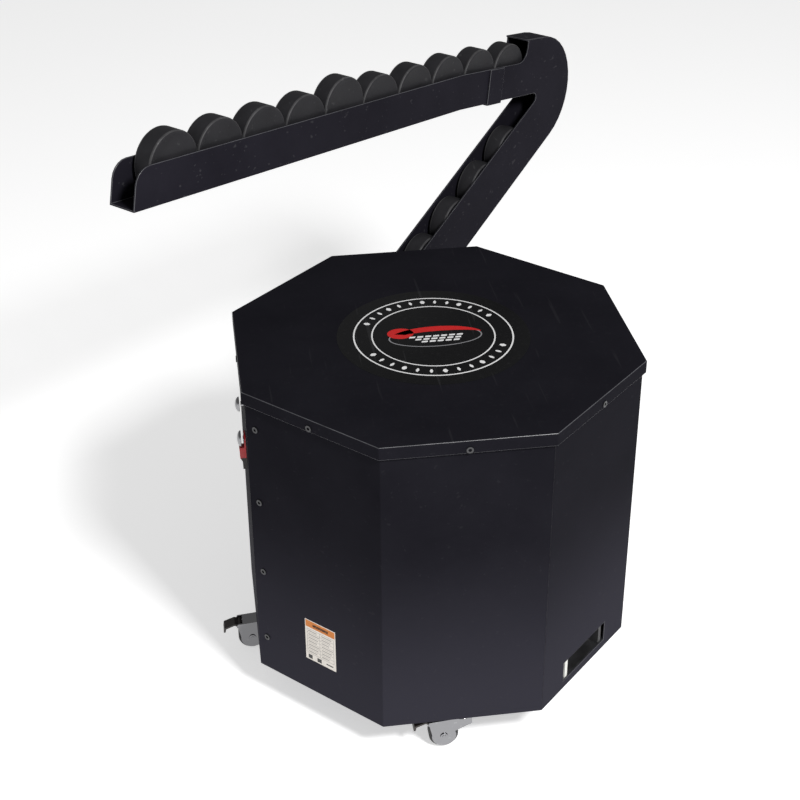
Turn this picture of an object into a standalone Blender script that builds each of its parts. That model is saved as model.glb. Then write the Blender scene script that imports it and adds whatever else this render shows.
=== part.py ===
"""Hockey puck passing machine: an eight-sided sheet-metal cabinet on casters,
with a sloping gravity chute that feeds pucks in through the back.

Metres, +Z up.  The origin is the middle of the base plate's underside.  The
front is -Y, and the chute stands in a vertical plane turned 45 degrees.
"""
import math

import bmesh
import bpy
from mathutils import Matrix, Vector

# ---------------------------------------------------------------- clearances
gap = 0.0003                    # between pieces that touch
slide_clearance = 0.0004        # per side, where one sheet slides in another
turn_clearance = 0.0005         # round a pin, shaft or barrel

# ------------------------------------------------------------------- cabinet
lid_width = 0.500               # across the flats
cabinet_height = 0.420          # base underside to lid top
sheet = 0.0015
lid_flange_depth = 0.017
lid_overhang = 0.004            # lid stands out past the skins
fold_radius = 0.0020
seam = 0.0004
base_sheet = 0.0025
base_flange_height = 0.010
base_bead_half = 0.150            # stiffening groove round the base's middle
base_bead_width = 0.004
base_bead_depth = 0.0008
deck_sheet = 0.0017
frame_ring_width = 0.022
frame_ring_thickness = 0.003
frame_post = 0.014
panel_return = 0.024            # control panel's edge folded behind the front skin

# ------------------------------------------------------------------- fixings
panel_screw_count = 4
panel_screw_below_lid = 0.049
panel_screw_above_base = 0.052
panel_screw_inset = 0.015       # from the cabinet's corner
panel_screw_radius = 0.0020
panel_screw_head_radius = 0.0042
panel_screw_head_height = 0.0023
panel_screw_length = 0.009

# -------------------------------------------------------------------- outlet
outlet_width = 0.104
outlet_room = 0.0046             # outlet's height past a puck's thickness

# --------------------------------------------------------------------- pucks
puck_diameter = 0.0762
puck_thickness = 0.0254
puck_spacing = 0.0004
upper_puck_count = 10
lower_puck_count = 4
lifted_puck = 5                 # this one rides up between its neighbours
lifted_puck_rise = 0.009
first_puck_from_nose = 0.069
first_lower_puck = 0.0882       # down the arm from the bend's pivot

# --------------------------------------------------------------------- chute
plate = 0.002                   # chute sheet
channel_room = 0.0086            # between the side plates, past a puck's thickness
chute_side = -0.178             # channel's middle plane from the cabinet's axis
bend_from_wall = 0.3211          # bend's centre, out from where the chute crosses the wall
bend_pivot_rise = 0.144         # bend's centre above the lid
bend_room = 0.0024               # past a puck, across the bent channel
arm_slope = math.radians(25.8)
stub_slope = math.radians(9.4)
tray_slope = math.radians(6.5)
tray_reach = 0.832               # nose's lower corner, back from the bend's centre
tray_nose_rise = 0.2515         # nose's lower corner above the lid
tray_height = 0.0495
tray_nose_radius = 0.022
tray_nose_lean = 0.005
stub_height = 0.050
stub_start = -0.126             # along the stub from the bend's pivot
floor_drop = 0.002              # stub's underside above the bend's pivot
cap_front = -0.0495
cap_lip = 0.0025
cap_fillet = 0.020
arm_plate_drop = 0.0046          # arm's side plates, short of the bend's pivot line
arm_length = 0.517
arm_corner_fillet = 0.008
floor_end = -0.002
saddle_start = -0.1443
saddle_length = 0.0355
saddle_lower_sheet = 0.002
saddle_height = 0.0515

# ------------------------------------------------------------------- casters
caster_height = 0.050
caster_inset = 0.016             # swivel's axis in from the cabinet's face
caster_trail = 0.023
caster_wheel_radius = 0.019
caster_wheel_width = 0.017
caster_cheek = 0.002
caster_cheek_radius = 0.0158
caster_axle_radius = 0.003
caster_stem_radius = 0.005
caster_head_radius = 0.0155
pedal_reach = 0.061
pedal_sheet = 0.0025
pedal_barrel_radius = 0.0034
pedal_pin_radius = 0.0014
tyre_clearance = 0.0016

# ------------------------------------------------------------------ controls
control_side = -0.050           # place across the control panel
button_below_lid = 0.0487
button_radius = 0.0095
button_travel = 0.003
button_dome = 0.0055
isolator_below_lid = 0.0990
isolator_radius = 0.0105
isolator_dome = 0.0052
isolator_neck = 0.0042
lever_length = 0.0445
lever_width = 0.011
lever_sheet = 0.0022

# -------------------------------------------------------------- drive inside
drive_across = 0.010            # spindle's place along the puck's path
drive_grip = 0.0021              # tyre's squeeze on a puck
drive_tyre_radius = 0.075
drive_hub_radius = 0.045
drive_wheel_bottom = 0.016
drive_wheel_thickness = 0.024
spindle_radius = 0.010
drive_pulley_radius = 0.022
motor_pulley_radius = 0.014
pulley_bottom = 0.043
pulley_height = 0.014
belt_thickness = 0.003
belt_width = 0.010
motor_across = 0.105
motor_out = 0.118
motor_radius = 0.040
motor_height = 0.082
bridge_bottom = 0.062
bridge_thickness = 0.005
bridge_leg = 0.012
rail_thickness = 0.006
rail_room = 0.0004               # between a puck and the rail
star_across = -0.125
star_out = -0.078
star_radius = 0.058

# ---------------------------------------------------------- derived geometry
lid_half = lid_width / 2
skin_half = lid_half - lid_overhang
inner_half = skin_half - sheet - gap
half_side = skin_half * math.tan(math.radians(22.5))
lid_under = cabinet_height - sheet
skin_top = lid_under - gap
channel_inside = puck_thickness + channel_room
channel_width = channel_inside + 2 * plate
bend_radius = floor_drop + 2 * plate + puck_diameter + bend_room
arm_plate_height = bend_radius - arm_plate_drop
outlet_height = puck_thickness + outlet_room
rail_inset = puck_diameter / 2 + rail_room
drive_out = drive_tyre_radius + puck_diameter / 2 - drive_grip
caster_ring_radius = skin_half - caster_inset
panel_screw_top = cabinet_height - panel_screw_below_lid
panel_screw_pitch = (panel_screw_top - panel_screw_above_base) / (panel_screw_count - 1)
button_height = cabinet_height - button_below_lid
isolator_height = cabinet_height - isolator_below_lid
deck_top = base_flange_height + gap + deck_sheet
outlet_bottom = deck_top
bend_pivot_height = cabinet_height + bend_pivot_rise
rot2 = math.sqrt(2)
bend_pivot_out = rot2 * skin_half + chute_side + bend_from_wall
tray_nose_out = bend_pivot_out - tray_reach

for old in list(bpy.data.objects):
    bpy.data.objects.remove(old, do_unlink=True)

parts = bpy.data.collections.new("puck_passing_machine")
cutters = bpy.data.collections.new("cutters")
bpy.context.scene.collection.children.link(parts)
bpy.context.scene.collection.children.link(cutters)


# ------------------------------------------------------------------ materials
def paint(name, colour, roughness, metallic):
    mat = bpy.data.materials.new(name)
    mat.use_nodes = True
    shader = mat.node_tree.nodes["Principled BSDF"]
    shader.inputs["Base Color"].default_value = (*colour, 1.0)
    shader.inputs["Roughness"].default_value = roughness
    shader.inputs["Metallic"].default_value = metallic
    return mat


black_coat = paint("black_powder_coat", (0.012, 0.012, 0.015), 0.42, 0.0)
chute_coat = paint("chute_powder_coat", (0.017, 0.016, 0.020), 0.45, 0.0)
bare_steel = paint("zinc_steel", (0.55, 0.55, 0.56), 0.38, 1.0)
chrome = paint("bright_chrome", (0.82, 0.82, 0.83), 0.10, 1.0)
puck_rubber = paint("puck_rubber", (0.014, 0.014, 0.015), 0.70, 0.0)
wheel_rubber = paint("wheel_rubber", (0.03, 0.03, 0.03), 0.60, 0.0)
drive_rubber = paint("drive_rubber", (0.05, 0.05, 0.05), 0.75, 0.0)
pedal_plastic = paint("pedal_plastic", (0.03, 0.022, 0.018), 0.50, 0.0)
red_plastic = paint("red_plastic", (0.45, 0.01, 0.015), 0.35, 0.0)
box_plastic = paint("box_plastic", (0.08, 0.08, 0.09), 0.50, 0.0)
motor_shell = paint("motor_shell", (0.10, 0.10, 0.11), 0.40, 0.6)
rail_plastic = paint("rail_plastic", (0.75, 0.75, 0.72), 0.45, 0.0)


# -------------------------------------------------------------------- helpers
def add_object(name, mesh, mat=None, place=None, cutter=False):
    ob = bpy.data.objects.new(name, mesh)
    (cutters if cutter else parts).objects.link(ob)
    if place is not None:
        ob.matrix_world = place
    if mat is not None:
        mesh.materials.append(mat)
    if cutter:
        ob.hide_render = True
        ob.display_type = "WIRE"
    return ob


def smooth(ob, degrees=35):
    ob.data.shade_smooth()
    ob.data.set_sharp_from_angle(angle=math.radians(degrees))


def rounded(points, steps=3):
    """A closed outline from (x, y) or (x, y, radius) corners."""
    out = []
    count = len(points)
    for i, point in enumerate(points):
        here = Vector(point[:2])
        radius = point[2] if len(point) > 2 else 0.0
        if radius <= 0:
            out.append(here)
            continue
        before = Vector(points[i - 1][:2])
        after = Vector(points[(i + 1) % count][:2])
        to_before = (before - here).normalized()
        to_after = (after - here).normalized()
        half_angle = to_before.angle(to_after) / 2
        reach = radius / math.tan(half_angle)
        middle = (to_before + to_after).normalized() * (radius / math.sin(half_angle))
        centre = here + middle
        first = here + to_before * reach - centre
        last = here + to_after * reach - centre
        turn = first.angle_signed(last)
        for k in range(steps + 1):
            angle = -turn * k / steps
            c, s = math.cos(angle), math.sin(angle)
            out.append(centre + Vector((first.x * c - first.y * s, first.x * s + first.y * c)))
    return out


def arc(centre, radius, start, end, steps):
    points = []
    for k in range(steps + 1):
        a = start + (end - start) * k / steps
        points.append((centre[0] + radius * math.cos(a), centre[1] + radius * math.sin(a)))
    return points


def circle(centre, radius, steps):
    return arc(centre, radius, 0.0, 2 * math.pi * (1 - 1 / steps), steps - 1)


def prism(name, loops, thickness, mat=None, place=None, cutter=False):
    """Closed outlines filled and extruded half the thickness each way."""
    curve = bpy.data.curves.new(name + "_outline", "CURVE")
    curve.dimensions = "2D"
    curve.fill_mode = "BOTH"
    curve.extrude = thickness / 2
    for loop in loops:
        spline = curve.splines.new("POLY")
        spline.points.add(len(loop) - 1)
        for point, xy in zip(spline.points, loop):
            point.co = (xy[0], xy[1], 0.0, 1.0)
        spline.use_cyclic_u = True
    drawn = bpy.data.objects.new(name + "_drawn", curve)
    parts.objects.link(drawn)
    bpy.context.view_layer.update()
    evaluated = drawn.evaluated_get(bpy.context.evaluated_depsgraph_get())
    mesh = bpy.data.meshes.new_from_object(evaluated)
    mesh.name = name
    work = bmesh.new()
    work.from_mesh(mesh)
    bmesh.ops.remove_doubles(work, verts=work.verts, dist=0.00001)
    bmesh.ops.recalc_face_normals(work, faces=work.faces)
    work.to_mesh(mesh)
    work.free()
    mesh.materials.clear()
    bpy.data.objects.remove(drawn)
    return add_object(name, mesh, mat, place, cutter)


def block(name, low, high, mat=None, place=None, cutter=False, bevel=0.0):
    mesh = bpy.data.meshes.new(name)
    work = bmesh.new()
    bmesh.ops.create_cube(work, size=1.0)
    low, high = Vector(low), Vector(high)
    size, centre = high - low, (high + low) / 2
    bmesh.ops.scale(work, vec=size, verts=work.verts)
    bmesh.ops.translate(work, vec=centre, verts=work.verts)
    if bevel:
        bmesh.ops.bevel(work, geom=work.edges[:], offset=bevel, segments=1, affect="EDGES")
    work.to_mesh(mesh)
    work.free()
    return add_object(name, mesh, mat, place, cutter)


def octagon(name, half, low, high, mat=None, cutter=False, bevel=0.0):
    """An eight-sided block with flats square to the axes."""
    mesh = bpy.data.meshes.new(name)
    work = bmesh.new()
    radius = half / math.cos(math.radians(22.5))
    turned = Matrix.Rotation(math.radians(22.5), 4, "Z")
    raised = Matrix.Translation((0, 0, (low + high) / 2))
    bmesh.ops.create_cone(work, cap_ends=True, segments=8, radius1=radius, radius2=radius,
                          depth=high - low, matrix=raised @ turned)
    if bevel:
        chosen = [e for e in work.edges if max(v.co.z for v in e.verts) > high - 1e-5]
        bmesh.ops.bevel(work, geom=chosen, offset=bevel, segments=2, affect="EDGES",
                        profile=0.5)
    work.to_mesh(mesh)
    work.free()
    return add_object(name, mesh, mat, None, cutter)


def turned_piece(name, profile, steps, mat=None, place=None, cutter=False, ring=False):
    """A profile of (radius, height), drawn top to bottom down its outside,
    turned about Z."""
    mesh = bpy.data.meshes.new(name)
    work = bmesh.new()
    verts = [work.verts.new((r, 0.0, z)) for r, z in profile]
    for a, b in zip(verts, verts[1:]):
        work.edges.new((a, b))
    if ring:
        work.edges.new((verts[-1], verts[0]))
    work.to_mesh(mesh)
    work.free()
    ob = add_object(name, mesh, mat, place, cutter)
    screw = ob.modifiers.new("turn", "SCREW")
    screw.axis = "Z"
    screw.steps = steps
    screw.render_steps = steps
    screw.use_merge_vertices = True
    screw.merge_threshold = 0.00001
    screw.use_smooth_shade = False
    return ob


def join(ob, other, operation="UNION"):
    """Boolean with another object, which becomes a hidden cutter."""
    mod = ob.modifiers.new(operation.lower() + "_" + other.name, "BOOLEAN")
    mod.operation = operation
    mod.solver = "EXACT"
    mod.object = other
    for collection in list(other.users_collection):
        collection.objects.unlink(other)
    cutters.objects.link(other)
    other.hide_render = True
    other.display_type = "WIRE"
    return ob


def cut(ob, other):
    return join(ob, other, "DIFFERENCE")


def face_place(azimuth, along, height, half=skin_half):
    """On a cabinet face: X along it, Y up, Z out."""
    a = math.radians(azimuth)
    out = Vector((math.cos(a), math.sin(a), 0))
    side = Vector((-math.sin(a), math.cos(a), 0))
    spot = out * half + side * along + Vector((0, 0, height))
    rows = ((side.x, 0, out.x, spot.x), (side.y, 0, out.y, spot.y),
            (0, 1, 0, spot.z), (0, 0, 0, 1))
    return Matrix(rows)


def chute_place(side=chute_side, out=0.0, height=0.0):
    """In the chute's upright plane: X along it, Y up, Z towards its near side."""
    c = math.sqrt(0.5)
    spot = Vector(((out + side) * c, (out - side) * c, height))
    rows = ((c, 0, c, spot.x), (c, 0, -c, spot.y), (0, 1, 0, spot.z), (0, 0, 0, 1))
    return Matrix(rows)


def path_place(across=0.0, out=0.0, height=0.0):
    """Level frame inside: X along the puck's path to the outlet, Y to its side."""
    c = math.sqrt(0.5)
    spot = Vector(((across + out) * c, (out - across) * c, height))
    rows = ((c, c, 0, spot.x), (-c, c, 0, spot.y), (0, 0, 1, spot.z), (0, 0, 0, 1))
    return Matrix(rows)


def meet(azimuth_a, half_a, azimuth_b, half_b):
    """Where two wall lines cross, seen from above."""
    a, b = math.radians(azimuth_a), math.radians(azimuth_b)
    det = math.cos(a) * math.sin(b) - math.sin(a) * math.cos(b)
    x = (half_a * math.sin(b) - half_b * math.sin(a)) / det
    y = (half_b * math.cos(a) - half_a * math.cos(b)) / det
    return Vector((x, y))


def skin(name, faces, start, end, mat):
    """A folded wall strip.  faces are (azimuth, outer half width); start and end
    are the lines it stops at, (azimuth, outer half, inner half, setback)."""
    outer, inner = [], []
    first, last = faces[0], faces[-1]
    side = Vector((-math.sin(math.radians(first[0])), math.cos(math.radians(first[0]))))
    outer.append(meet(*start[:2], *first) + side * start[3])
    inner.append(meet(start[0], start[2], first[0], first[1] - sheet) + side * start[3])
    for one, two in zip(faces, faces[1:]):
        spot = meet(*one, *two)
        outer.append((spot.x, spot.y, fold_radius))
        spot = meet(one[0], one[1] - sheet, two[0], two[1] - sheet)
        inner.append((spot.x, spot.y, fold_radius - sheet))
    side = Vector((-math.sin(math.radians(last[0])), math.cos(math.radians(last[0]))))
    outer.append(meet(*last, *end[:2]) - side * end[3])
    inner.append(meet(last[0], last[1] - sheet, end[0], end[2]) - side * end[3])
    outline = rounded([tuple(p) for p in outer + inner[::-1]])
    middle = Matrix.Translation((0, 0, (skin_top) / 2))
    return prism(name, [outline], skin_top, mat, middle)


# ----------------------------------------------------------------- chute lines
pivot = Vector((bend_pivot_out, bend_pivot_height))
stub_along = Vector((math.cos(stub_slope), -math.sin(stub_slope)))
stub_up = Vector((math.sin(stub_slope), math.cos(stub_slope)))
arm_along = Vector((-math.cos(arm_slope), -math.sin(arm_slope)))
arm_out = Vector((math.sin(arm_slope), -math.cos(arm_slope)))
tray_along = Vector((math.cos(tray_slope), -math.sin(tray_slope)))
tray_up = Vector((math.sin(tray_slope), math.cos(tray_slope)))
tray_nose = Vector((tray_nose_out, cabinet_height + tray_nose_rise))


def on_stub(along, above):
    return pivot + stub_along * along + stub_up * above


def on_arm(along, out):
    return pivot + arm_along * along + arm_out * out


def crossing(a, along_a, b, along_b):
    det = along_a.x * along_b.y - along_a.y * along_b.x
    d = b - a
    return a + along_a * ((d.x * along_b.y - d.y * along_b.x) / det)


tray_fold = crossing(tray_nose, tray_along, on_stub(0, floor_drop), stub_along)


def chute_outline(wall, start, arm_end):
    """The bent wall's side view, drawn in by wall from its outer face."""
    r = bend_radius - wall
    points = [on_stub(start, r), on_stub(0, r)]
    first = math.atan2(stub_up.y, stub_up.x)
    last = math.atan2(arm_out.y, arm_out.x)
    points += [Vector(p) for p in arc(pivot, r, first, last, 14)[1:-1]]
    points += [on_arm(0, r), on_arm(arm_end, r)]
    return points


def make_chute_arm():
    """Two flat side plates, the bent wall between them, and the stub's floor."""
    inner_edge = bend_radius - arm_plate_height
    corner = crossing(on_stub(0, floor_drop), stub_along, on_arm(0, inner_edge), arm_along)
    lip_in = cap_front + cap_lip
    top = floor_drop + stub_height
    outline = [tuple(p) for p in chute_outline(0.0, cap_front, arm_length)]
    outline.append(tuple(on_arm(arm_length, inner_edge)))
    outline.append((corner.x, corner.y, arm_corner_fillet))
    outline.append(tuple(on_stub(stub_start, floor_drop)))
    outline.append(tuple(on_stub(stub_start, top)))
    elbow = on_stub(lip_in, top)
    cap_wall = bend_radius - cap_lip - top
    outline.append((elbow.x, elbow.y, min(cap_fillet, 0.9 * cap_wall)))
    outline.append(tuple(on_stub(lip_in, bend_radius - cap_lip)))
    outline.append(tuple(on_stub(cap_front, bend_radius - cap_lip)))
    side_view = rounded(outline, 5)
    to_plate = (channel_width - plate) / 2
    prism("chute_near_plate", [side_view], plate, chute_coat,
          chute_place(chute_side + to_plate))
    far = prism("chute_arm", [side_view], plate, chute_coat,
                chute_place(chute_side - to_plate))
    # the stub's floor is welded to the far plate and stops short of the near one
    weld = plate / 2
    floor_view = [on_stub(stub_start, floor_drop), on_stub(floor_end, floor_drop),
                  on_stub(floor_end, floor_drop + plate),
                  on_stub(stub_start, floor_drop + plate)]
    floor_width = channel_inside - gap + weld
    join(far, prism("stub_floor", [[tuple(p) for p in floor_view]], floor_width,
                    place=chute_place(chute_side - (gap + weld) / 2), cutter=True))

    bent = chute_outline(0.0, cap_front, arm_length)
    bent += chute_outline(plate, cap_front, arm_length)[::-1]
    prism("chute_wall", [[tuple(p) for p in bent]], channel_inside - 2 * gap, chute_coat,
          chute_place())


def make_chute_tray():
    """Slides on the saddle, so its origin lies in the stub's direction there."""
    end = stub_start - 2 * gap
    fold_top = crossing(tray_nose + tray_up * tray_height, tray_along,
                        on_stub(0, floor_drop + tray_height), stub_along)
    nose_top = tray_nose + tray_up * tray_height + tray_along * tray_nose_lean
    outline = [tuple(tray_nose), tuple(tray_fold), tuple(on_stub(end, floor_drop)),
               tuple(on_stub(end, floor_drop + tray_height)), tuple(fold_top),
               (nose_top.x, nose_top.y, tray_nose_radius)]
    home = Vector((on_stub(end, floor_drop).x, on_stub(end, floor_drop).y))
    moved = [tuple(Vector(p) - home) for p in rounded(outline, 5)]
    place = chute_place(chute_side, home.x, home.y)
    tray = prism("chute_tray", [moved], channel_width, chute_coat, place)
    beyond = 0.010
    floor_fold = crossing(tray_nose + tray_up * plate, tray_along,
                          on_stub(0, floor_drop + plate), stub_along)
    hollow = [tray_nose + tray_up * plate - tray_along * beyond, floor_fold,
              on_stub(end + beyond, floor_drop + plate),
              on_stub(end + beyond, floor_drop + tray_height + beyond),
              fold_top + tray_up * beyond,
              nose_top + tray_up * beyond - tray_along * 2 * beyond]
    hollow = [tuple(Vector(p) - home) for p in hollow]
    cut(tray, prism("tray_hollow", [hollow], channel_inside, place=place, cutter=True))
    return tray


def make_saddle():
    """Folded strap round the joint of the tray and the bent chute."""
    low = floor_drop - gap - saddle_lower_sheet
    clear = channel_width + 2 * slide_clearance
    wide = clear + 2 * plate
    side_view = [on_stub(saddle_start, low), on_stub(saddle_start + saddle_length, low),
                 on_stub(saddle_start + saddle_length, low + saddle_height),
                 on_stub(saddle_start, low + saddle_height)]
    strap = prism("tray_saddle", [[tuple(p) for p in side_view]], wide, chute_coat,
                  chute_place())
    over = 0.005
    space = [on_stub(saddle_start - over, floor_drop - gap),
             on_stub(saddle_start + saddle_length + over, floor_drop - gap),
             on_stub(saddle_start + saddle_length + over, low + saddle_height + over),
             on_stub(saddle_start - over, low + saddle_height + over)]
    cut(strap, prism("saddle_space", [[tuple(p) for p in space]], clear,
                     place=chute_place(), cutter=True))
    return strap


# ---------------------------------------------------------------------- pucks
def puck_mesh(name, place):
    r = puck_diameter / 2
    h = puck_thickness / 2
    edge = 0.0016
    profile = [(0.0, h), (r - 0.006, h), (r - edge, h - 0.0004), (r, h - edge),
               (r, -h + edge), (r - edge, -h + 0.0004), (r - 0.006, -h), (0.0, -h)]
    ob = turned_piece(name, profile, 28, puck_rubber, place)
    return ob


def make_pucks():
    r = puck_diameter / 2
    pitch = puck_diameter + puck_spacing
    rest = plate + gap + r
    fold = crossing(tray_nose + tray_up * rest, tray_along,
                    on_stub(0, floor_drop + rest), stub_along)

    def on_floor(out, lift):
        """Centre of a puck whose place along the chute is known."""
        if out < fold.x:
            start, along, up = tray_nose + tray_up * rest, tray_along, tray_up
        else:
            start, along, up = on_stub(0, floor_drop + rest), stub_along, stub_up
        spot = start + along * ((out - start.x) / along.x)
        return spot + Vector((0, lift))

    spot = tray_nose + tray_up * rest + tray_along * first_puck_from_nose
    spots = [spot]
    for number in range(2, upper_puck_count + 1):
        lift = lifted_puck_rise if number == lifted_puck else 0.0
        low, high = spot.x, spot.x + 1.2 * pitch
        for _ in range(40):
            middle = (low + high) / 2
            if (on_floor(middle, lift) - spot).length < pitch:
                low = middle
            else:
                high = middle
        spot = on_floor(high, lift)
        spots.append(spot)
    for number, spot in enumerate(spots, 1):
        puck_mesh("puck_%02d" % number, chute_place(chute_side, spot.x, spot.y))
    for number in range(1, lower_puck_count + 1):
        spot = on_arm(first_lower_puck + pitch * (number - 1), bend_radius - rest)
        puck_mesh("puck_lower_%d" % number, chute_place(chute_side, spot.x, spot.y))


# -------------------------------------------------------------------- cabinet
entry_middle = skin_half + rot2 * chute_side
entry_half = channel_width / rot2 + lid_overhang + 0.0015


def arm_bottom_at(wall, side):
    """Height of the arm's lower edge where it crosses a wall line at the back."""
    out = rot2 * wall + side
    foot = on_arm(0, bend_radius)
    return foot.y + (foot.x - out) * arm_along.y / -arm_along.x


entry_bottom = arm_bottom_at(skin_half - sheet, chute_side - channel_width / 2) - 0.004


def make_lid():
    low = cabinet_height - lid_flange_depth
    lid = octagon("lid", lid_half, low, cabinet_height, black_coat, bevel=0.0012)
    cut(lid, octagon("lid_hollow", lid_half - sheet, low - 0.01, lid_under, cutter=True))
    notch = block("lid_notch", (entry_middle - entry_half, lid_half - 0.012, low - 0.01),
                  (entry_middle + entry_half, lid_half + 0.01, lid_under - gap), cutter=True)
    cut(lid, notch)


def make_skins():
    h = skin_half
    mitre = seam / 2
    hidden = skin_half - sheet - gap
    front = skin("front_skin", [(-135, h), (-90, h)], (-180, h, h, 0.0),
                 (-45, h, h - sheet, mitre), black_coat)
    right = skin("right_skin", [(-45, h), (0, h), (45, h)], (-90, h, h - sheet, mitre),
                 (90, h, h - sheet, mitre), black_coat)
    rear = skin("rear_skin", [(90, h), (135, h)], (45, h, h - sheet, mitre),
                (180, h, h - sheet, mitre), black_coat)
    corner = meet(180, h, 225, hidden)
    along = Vector((-math.sin(math.radians(225)), math.cos(math.radians(225))))
    end = corner + along * panel_return
    reach = end.dot(along)
    panel = skin("control_panel", [(180, h), (225, hidden)], (135, h, h - sheet, mitre),
                 (315, reach, reach, 0.0), black_coat)

    ring_low = skin_top - frame_ring_thickness
    for name, low, high in (("return_foot", -0.01, deck_top + gap),
                            ("return_head", ring_low - gap, cabinet_height)):
        clear = block(name, (half_side - 2 * panel_return, low, -2 * panel_return),
                      (half_side + panel_return, high, -sheet),
                      place=face_place(180, 0, 0), cutter=True)
        cut(panel, clear)

    slot = block("outlet_cutter", (-outlet_width / 2, outlet_bottom, -0.01),
                 (outlet_width / 2, outlet_bottom + outlet_height, 0.01),
                 place=face_place(-45, 0, 0), cutter=True)
    cut(right, slot)
    mouth = block("entry_cutter", (entry_middle - entry_half, h - 0.01, entry_bottom),
                  (entry_middle + entry_half, h + 0.01, cabinet_height), cutter=True)
    cut(rear, mouth)

    for number in range(1, panel_screw_count + 1):
        height = panel_screw_top - panel_screw_pitch * (number - 1)
        place = face_place(-135, panel_screw_inset - half_side, height)
        hole = turned_piece("screw_hole_%d" % number,
                            [(0, 0.01), (panel_screw_radius + gap, 0.01),
                             (panel_screw_radius + gap, -0.01), (0, -0.01)],
                            12, place=place, cutter=True)
        cut(front, hole)
        cut(panel, hole)
        make_panel_screw("panel_screw_%d" % number, place)
    for name, height, radius in (("button_hole", button_height, 0.0052),
                                 ("isolator_hole", isolator_height, 0.0042)):
        hole = turned_piece(name, [(0, 0.01), (radius, 0.01), (radius, -0.01), (0, -0.01)],
                            16, place=face_place(180, -control_side, height), cutter=True)
        cut(panel, hole)


def make_panel_screw(name, place):
    r, top = panel_screw_head_radius, panel_screw_head_height
    shank = panel_screw_radius
    profile = [(0, top), (r * 0.45, top), (r * 0.82, top * 0.78), (r, top * 0.35), (r, gap),
               (shank, gap), (shank, -panel_screw_length), (0, -panel_screw_length)]
    screw = turned_piece(name, profile, 12, bare_steel, place)
    for turn in (0, 90):
        spin = place @ Matrix.Rotation(math.radians(turn + 45), 4, "Z")
        bar = block(name + "_slot_%d" % turn, (-r * 0.55, -r * 0.11, top * 0.45),
                    (r * 0.55, r * 0.11, top * 1.5), place=spin, cutter=True)
        cut(screw, bar)


def make_base():
    base = octagon("base_plate", inner_half, 0.0, base_flange_height, black_coat)
    cut(base, octagon("base_hollow", inner_half - base_sheet, base_sheet, 0.03, cutter=True))
    for number in range(4):
        a = math.radians(90 * number)
        spot = (caster_ring_radius * math.cos(a), caster_ring_radius * math.sin(a), 0)
        r = caster_stem_radius + turn_clearance
        hole = turned_piece("stem_hole_%d" % number,
                            [(0, 0.01), (r, 0.01), (r, -0.01), (0, -0.01)], 16,
                            place=Matrix.Translation(spot), cutter=True)
        cut(base, hole)
    bead = octagon("base_bead", base_bead_half, -0.01, base_bead_depth, cutter=True)
    cut(bead, octagon("bead_island", base_bead_half - base_bead_width, -0.02, 0.02,
                      cutter=True))
    cut(base, bead)
    octagon("puck_deck", inner_half, base_flange_height + gap, deck_top, bare_steel)


def make_inner_frame():
    top = skin_top
    low = top - frame_ring_thickness
    outer = octagon("inner_frame", inner_half - gap, low, top, bare_steel)
    cut(outer, octagon("frame_hole", inner_half - frame_ring_width, low - 0.01, top + 0.01,
                       cutter=True))
    half = frame_post / 2
    face = inner_half - 2 * gap
    reach = (face - half * math.sin(math.radians(22.5))) / math.cos(math.radians(22.5))
    for azimuth in (-112.5, -22.5, 67.5, 157.5):
        place = Matrix.Rotation(math.radians(azimuth), 4, "Z")
        post = block("post_%d" % round(azimuth), (reach - frame_post, -half, deck_top + gap),
                     (reach, half, low + frame_ring_thickness / 2), place=place, cutter=True)
        join(outer, post)


def make_inlet_flange():
    thick = 0.0018
    y0 = skin_half + gap
    low = entry_bottom - 0.020
    high = cabinet_height - lid_flange_depth - gap
    flange = block("inlet_flange", (entry_middle - entry_half - 0.020, y0, low),
                   (entry_middle + entry_half + 0.020, y0 + thick, high), black_coat)
    cut(flange, block("flange_mouth", (entry_middle - entry_half, y0 - 0.01, entry_bottom),
                      (entry_middle + entry_half, y0 + 0.01, high + 0.01), cutter=True))


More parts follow.
